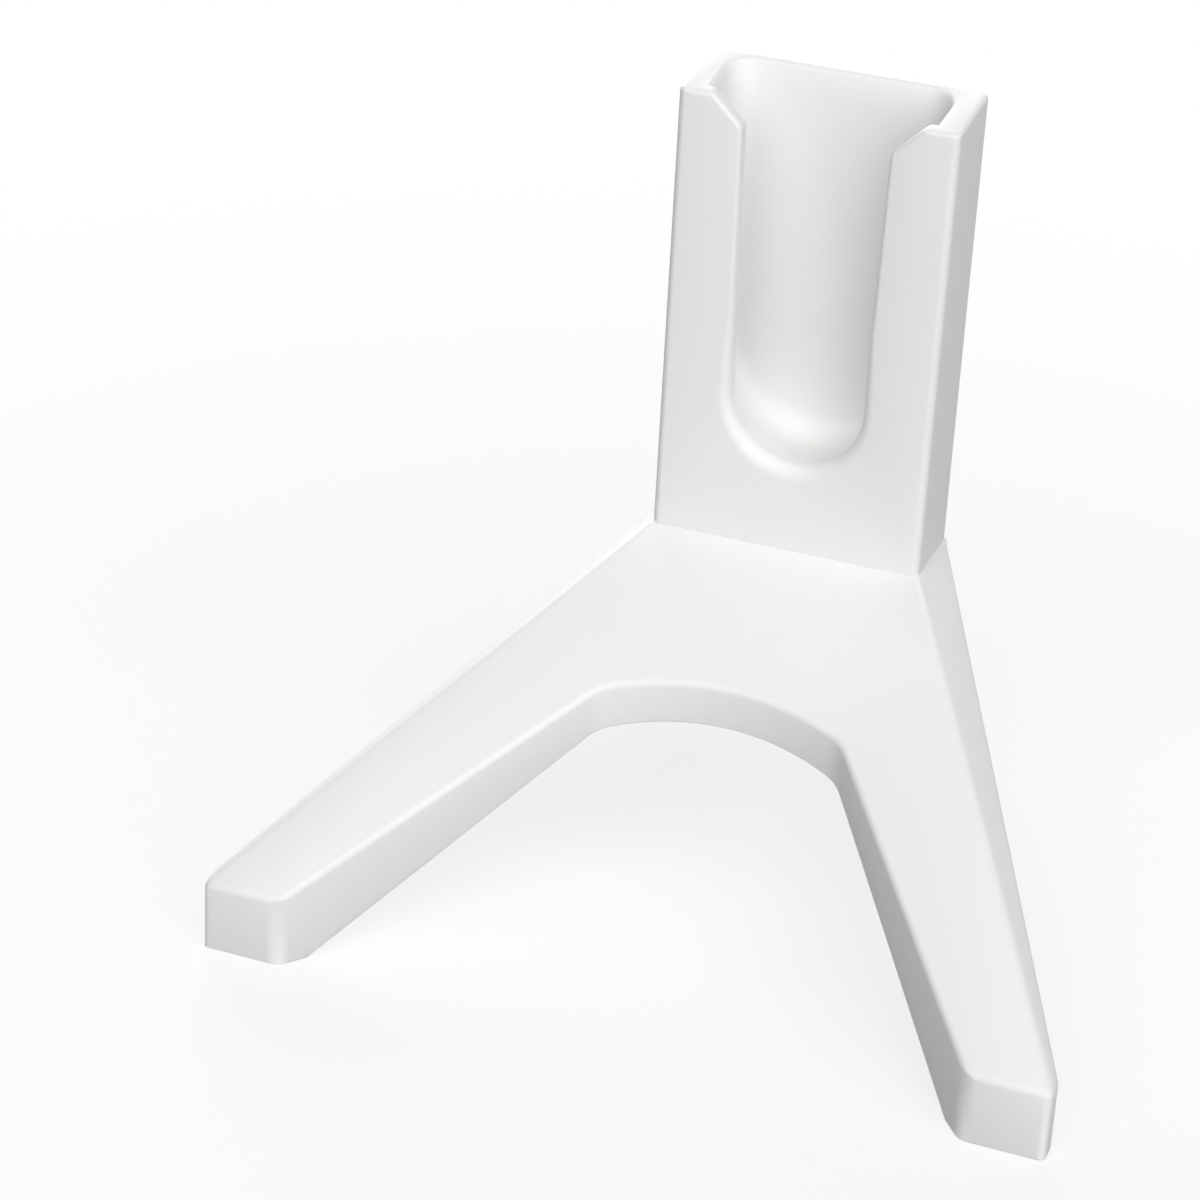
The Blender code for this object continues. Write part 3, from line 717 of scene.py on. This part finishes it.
def build_screw(name, k, middle):
    """Pan-head screw for plastic, with a cross recess, standing head down at x = 0."""
    low = SCREW_LOW.z
    seat = low + k.head_height
    tip = SCREW_HIGH.z
    piece = drum(name, k.head_radius, low, seat, 0.0, middle, HEAD_STEPS)
    bevel_edges(piece, lambda edge: max(v.co.z for v in edge.verts) < low + SAME,
                k.head_rounding, ROUND_STEPS)
    bevel_edges(piece, lambda edge: min(v.co.z for v in edge.verts) > seat - SAME,
                k.seat_rounding, SEAT_STEPS)
    edit(piece, "FACE", lambda face: face.normal.z > LEVEL)
    bpy.ops.mesh.inset(thickness=k.head_radius - k.seat_rounding - k.root)
    bpy.ops.mesh.extrude_region_move(TRANSFORM_OT_translate={"value": (0, 0, tip - k.tip - seat)})
    bpy.ops.mesh.extrude_region_move(TRANSFORM_OT_translate={"value": (0, 0, k.tip)})
    bpy.ops.transform.resize(value=(k.tip_share, k.tip_share, 1.0), center_override=(0.0, middle, tip))
    leave()
    combine(piece, thread(k, middle, seat + k.pitch, tip - k.thread_end), "UNION")
    for along, across in ((k.recess_length, k.recess_width), (k.recess_width, k.recess_length)):
        blade = block("recess", (-along / 2, along / 2), (middle - across / 2, middle + across / 2),
                      (low - PAST_HEAD, low + k.recess_depth))
        edit(blade, "FACE", lambda face: face.normal.z > UPWARD)
        bpy.ops.transform.resize(value=(k.recess_floor, k.recess_floor, 1.0),
                                 center_override=(0.0, middle, low))
        leave()
        combine(piece, blade)
    return piece


def speckled(name, colours, scale, detail, gloss, relief):
    """Material with noise patches between two colours, and a second noise for its gloss and relief.

    gloss is the second noise's scale and the roughness at its low and high ends, and relief is the
    strength and the height of its bumps.
    """
    material = bpy.data.materials.new(name)
    material.use_nodes = True
    nodes, links = material.node_tree.nodes, material.node_tree.links
    shader = nodes["Principled BSDF"]
    place = nodes.new("ShaderNodeTexCoord")
    patches = nodes.new("ShaderNodeTexNoise")
    patches.inputs["Scale"].default_value = scale
    patches.inputs["Detail"].default_value = detail
    links.new(place.outputs["Object"], patches.inputs["Vector"])
    tint = nodes.new("ShaderNodeMix")
    tint.data_type = "RGBA"
    for socket, tone in zip("AB", colours):
        tint.inputs[socket].default_value = (*[min(part, 1.0) for part in tone], 1.0)
    links.new(patches.outputs["Fac"], tint.inputs["Factor"])
    links.new(tint.outputs["Result"], shader.inputs["Base Color"])
    grain = nodes.new("ShaderNodeTexNoise")
    grain.inputs["Scale"].default_value = gloss[0]
    grain.inputs["Detail"].default_value = GRAIN_DETAIL
    links.new(place.outputs["Object"], grain.inputs["Vector"])
    roughness = nodes.new("ShaderNodeMapRange")
    roughness.inputs["To Min"].default_value = gloss[1]
    roughness.inputs["To Max"].default_value = gloss[2]
    links.new(grain.outputs["Fac"], roughness.inputs["Value"])
    links.new(roughness.outputs["Result"], shader.inputs["Roughness"])
    bump = nodes.new("ShaderNodeBump")
    bump.inputs["Strength"].default_value = relief[0]
    bump.inputs["Distance"].default_value = relief[1]
    links.new(grain.outputs["Fac"], bump.inputs["Height"])
    links.new(bump.outputs["Normal"], shader.inputs["Normal"])
    return material, shader


def white_plastic(f):
    """Moulded satin plastic: a fine, even grain with a faint long unevenness of tone."""
    colours = [[part * f.plastic_shade for part in f.plastic], f.plastic]
    material, shader = speckled("white_satin_plastic", colours, f.plastic_patches, PLASTIC_DETAIL,
                                (f.plastic_grain, f.plastic_smooth, f.plastic_rough),
                                (f.relief_share, f.plastic_relief))
    shader.inputs["Specular IOR Level"].default_value = f.plastic_gloss
    return material


def zinc_steel(f):
    """Zinc-coated steel: soft grey patches with a slightly uneven gloss."""
    colours = [[part * tone for part in f.steel] for tone in (f.steel_dark, f.steel_light)]
    material, shader = speckled("zinc_coated_steel", colours, f.steel_patches, ZINC_DETAIL,
                                (f.steel_patches, f.steel_rough, f.steel_smooth),
                                (f.zinc_share, f.steel_relief))
    shader.inputs["Metallic"].default_value = 1.0
    return material


def stand_sizes():
    return bpy.context.scene.kickstand


class KickstandSettings(bpy.types.PropertyGroup):
    """Everything that the stand is built from"""
    socket: bpy.props.PointerProperty(type=KickstandSocketSizes)
    base: bpy.props.PointerProperty(type=KickstandBaseSizes)
    screws: bpy.props.PointerProperty(type=KickstandScrewSizes)
    finish: bpy.props.PointerProperty(type=KickstandFinish)
    studio: bpy.props.PointerProperty(type=KickstandStudio)


class KICKSTAND_OT_socket(bpy.types.Operator):
    """Build the upright socket with its pocket, its slot and its tenon"""
    bl_idname = "kickstand.socket"
    bl_label = "Upright socket"

    def execute(self, context):
        settings = stand_sizes()
        piece = build_socket(settings.socket, settings.screws, settings.base.hub_top)
        finish_piece(piece, white_plastic(settings.finish), "white_plastic", "upright_socket")
        return {"FINISHED"}


class KICKSTAND_OT_base(bpy.types.Operator):
    """Build the base with its two front legs, the arch and the rear leg"""
    bl_idname = "kickstand.base"
    bl_label = "Base"

    def execute(self, context):
        settings = stand_sizes()
        piece = build_base(settings.base, settings.socket, settings.screws)
        finish_piece(piece, white_plastic(settings.finish), "white_plastic", "tripod_base")
        return {"FINISHED"}


class KICKSTAND_OT_screws(bpy.types.Operator):
    """Build one screw and its copy under the hub"""
    bl_idname = "kickstand.screws"
    bl_label = "Screws"

    def execute(self, context):
        settings = stand_sizes()
        k, s = settings.screws, settings.socket
        material = zinc_steel(settings.finish)
        left = build_screw("screw_left", k, s.front + s.depth / 2)
        right = left.copy()
        right.data = left.data.copy()
        right.name = "screw_right"
        context.scene.collection.objects.link(right)
        for piece, side, node in ((left, -1, "base_screw_left"), (right, 1, "base_screw_right")):
            only(piece)
            bpy.ops.transform.translate(value=(side * k.spacing / 2, 0.0, 0.0))
            bpy.ops.object.transform_apply(location=True, rotation=True, scale=True)
            finish_piece(piece, material, "screw_steel", node)
        return {"FINISHED"}


class KICKSTAND_OT_stage(bpy.types.Operator):
    """Add the pale floor, the soft lights and the camera"""
    bl_idname = "kickstand.stage"
    bl_label = "Studio"

    def execute(self, context):
        build_stage(context.scene, stand_sizes())
        return {"FINISHED"}


class KICKSTAND_PT_panel(bpy.types.Panel):
    """The stand's pieces, sizes and finishes"""
    bl_idname = "KICKSTAND_PT_panel"
    bl_label = "Kickstand"
    bl_space_type = "VIEW_3D"
    bl_region_type = "UI"
    bl_category = "Kickstand"

    def draw(self, context):
        settings = stand_sizes()
        for title, group, operator in (("Finish", settings.finish, None),
                                       ("Socket", settings.socket, KICKSTAND_OT_socket),
                                       ("Base", settings.base, KICKSTAND_OT_base),
                                       ("Screws", settings.screws, KICKSTAND_OT_screws),
                                       ("Studio", settings.studio, KICKSTAND_OT_stage)):
            box = self.layout.box()
            box.label(text=title)
            for name in group.bl_rna.properties.keys():
                if name not in ("rna_type", "name"):
                    box.prop(group, name)
            if operator:
                box.operator(operator.bl_idname)


def background_rays(nodes, links):
    """1 for the rays that should see the plain white background, else 0."""
    path = nodes.new("ShaderNodeLightPath")
    total = path.outputs["Is Camera Ray"]
    for name in ("Is Glossy Ray", "Is Transmission Ray"):
        either = nodes.new("ShaderNodeMath")
        either.operation = "MAXIMUM"
        links.new(total, either.inputs[0])
        links.new(path.outputs[name], either.inputs[1])
        total = either.outputs["Value"]
    return total


def build_room(scene, studio):
    """Weak even light from all round, with plain white behind everything."""
    world = bpy.data.worlds.new("studio")
    world.use_nodes = True
    scene.world = world
    nodes, links = world.node_tree.nodes, world.node_tree.links
    room = nodes["Background"]
    room.inputs["Strength"].default_value = studio.fill
    room.inputs["Color"].default_value = WHITE
    white = nodes.new("ShaderNodeBackground")
    white.inputs["Color"].default_value = WHITE
    white.inputs["Strength"].default_value = 1.0
    mix = nodes.new("ShaderNodeMixShader")
    links.new(background_rays(nodes, links), mix.inputs["Fac"])
    links.new(room.outputs["Background"], mix.inputs[1])
    links.new(white.outputs["Background"], mix.inputs[2])
    links.new(mix.outputs["Shader"], nodes["World Output"].inputs["Surface"])


def build_floor(studio):
    """Large pale floor that keeps the stand's shadow and fades into the white background."""
    bpy.ops.object.select_all(action="DESELECT")
    bpy.ops.mesh.primitive_circle_add(vertices=FLOOR_STEPS, radius=studio.floor_size, fill_type="NGON",
                                      location=(0.0, 0.0, 0.0))
    floor = added("studio_floor")
    floor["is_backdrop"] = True
    material = bpy.data.materials.new("pale_floor")
    material.use_nodes = True
    nodes, links = material.node_tree.nodes, material.node_tree.links
    shader = nodes["Principled BSDF"]
    shader.inputs["Roughness"].default_value = FLOOR_ROUGHNESS
    shader.inputs["Specular IOR Level"].default_value = 0.0
    seen = background_rays(nodes, links)
    tone = nodes.new("ShaderNodeMix")
    tone.data_type = "RGBA"
    tone.inputs["A"].default_value = (*[part * studio.bounce for part in studio.floor], 1.0)
    tone.inputs["B"].default_value = (*studio.floor, 1.0)
    links.new(seen, tone.inputs["Factor"])
    links.new(tone.outputs["Result"], shader.inputs["Base Color"])
    place = nodes.new("ShaderNodeTexCoord")
    distance = nodes.new("ShaderNodeVectorMath")
    distance.operation = "LENGTH"
    links.new(place.outputs["Object"], distance.inputs[0])
    fade = nodes.new("ShaderNodeMapRange")
    fade.interpolation_type = "SMOOTHSTEP"
    fade.inputs["From Min"].default_value = studio.fade_start
    fade.inputs["From Max"].default_value = studio.fade_end
    fade.inputs["To Min"].default_value = studio.near_white
    links.new(distance.outputs["Value"], fade.inputs["Value"])
    far = nodes.new("ShaderNodeMath")
    far.operation = "MULTIPLY"
    links.new(fade.outputs["Result"], far.inputs[0])
    links.new(seen, far.inputs[1])
    white = nodes.new("ShaderNodeEmission")
    white.inputs["Color"].default_value = WHITE
    mix = nodes.new("ShaderNodeMixShader")
    links.new(far.outputs["Value"], mix.inputs["Fac"])
    links.new(shader.outputs["BSDF"], mix.inputs[1])
    links.new(white.outputs["Emission"], mix.inputs[2])
    links.new(mix.outputs["Shader"], nodes["Material Output"].inputs["Surface"])
    floor.data.materials.append(material)


def direction(turn, height):
    """Unit vector from the stand to what stands turned to the right of the front, at a height angle."""
    reach = math.cos(height)
    return Vector((math.sin(turn) * reach, -math.cos(turn) * reach, math.sin(height)))


def add_light(name, strength, turn, height, spread):
    """Soft distant light. With no spread, a strength of 1 shows a face square to it in its own colour."""
    towards = direction(turn, height)
    bpy.ops.object.light_add(type="SUN", location=towards)
    light = bpy.context.object
    light.name = name
    light.data.energy = strength * math.pi
    light.data.angle = spread
    light.rotation_mode = "QUATERNION"
    light.rotation_quaternion = towards.to_track_quat("Z", "Y")


def add_camera(scene, studio, foot):
    """Camera at the photograph's place, with angles and framing from points matched in the picture."""
    camera_data = bpy.data.cameras.new("photo_camera")
    camera = bpy.data.objects.new("photo_camera", camera_data)
    scene.collection.objects.link(camera)
    back = direction(studio.view_turn, studio.view_height)
    across = Vector((math.cos(studio.view_turn), math.sin(studio.view_turn), 0.0))
    upwards = back.cross(across)
    right = math.cos(studio.view_roll) * across + math.sin(studio.view_roll) * upwards
    up = -math.sin(studio.view_roll) * across + math.cos(studio.view_roll) * upwards
    place = foot + studio.view_across * right + studio.view_up * up + studio.view_distance * back
    turn = Matrix((right, up, back)).transposed().to_4x4()
    camera.matrix_world = Matrix.Translation(place) @ turn
    camera_data.sensor_width = SENSOR
    camera_data.lens = studio.lens
    camera_data.clip_start = NEAREST
    camera_data.clip_end = FARTHEST
    scene.camera = camera


def build_stage(scene, settings):
    studio = settings.studio
    scene.view_settings.view_transform = "Standard"
    build_room(scene, studio)
    build_floor(studio)
    add_light("key_light", studio.key, studio.key_turn, studio.key_height, studio.key_spread)
    add_light("back_light", studio.back, studio.back_turn, studio.back_height, studio.back_spread)
    add_camera(scene, studio, Vector((0.0, settings.socket.front, 0.0)))


CLASSES = (KickstandSocketSizes, KickstandBaseSizes, KickstandScrewSizes, KickstandFinish,
           KickstandStudio, KickstandSettings, KICKSTAND_OT_socket, KICKSTAND_OT_base, KICKSTAND_OT_screws,
           KICKSTAND_OT_stage, KICKSTAND_PT_panel)


def register():
    for kind in CLASSES:
        bpy.utils.register_class(kind)
    bpy.types.Scene.kickstand = bpy.props.PointerProperty(type=KickstandSettings)


def unregister():
    del bpy.types.Scene.kickstand
    for kind in reversed(CLASSES):
        bpy.utils.unregister_class(kind)


def corners(bounds):
    return [list(corner) for corner in bounds]


def main():
    packed = corners(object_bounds())
    register()
    bpy.ops.kickstand.socket()
    bpy.ops.kickstand.base()
    bpy.ops.kickstand.screws()
    bpy.ops.kickstand.stage()
    {"packed": packed, "shown": corners(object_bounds())}


if __name__ == "__main__":
    main()
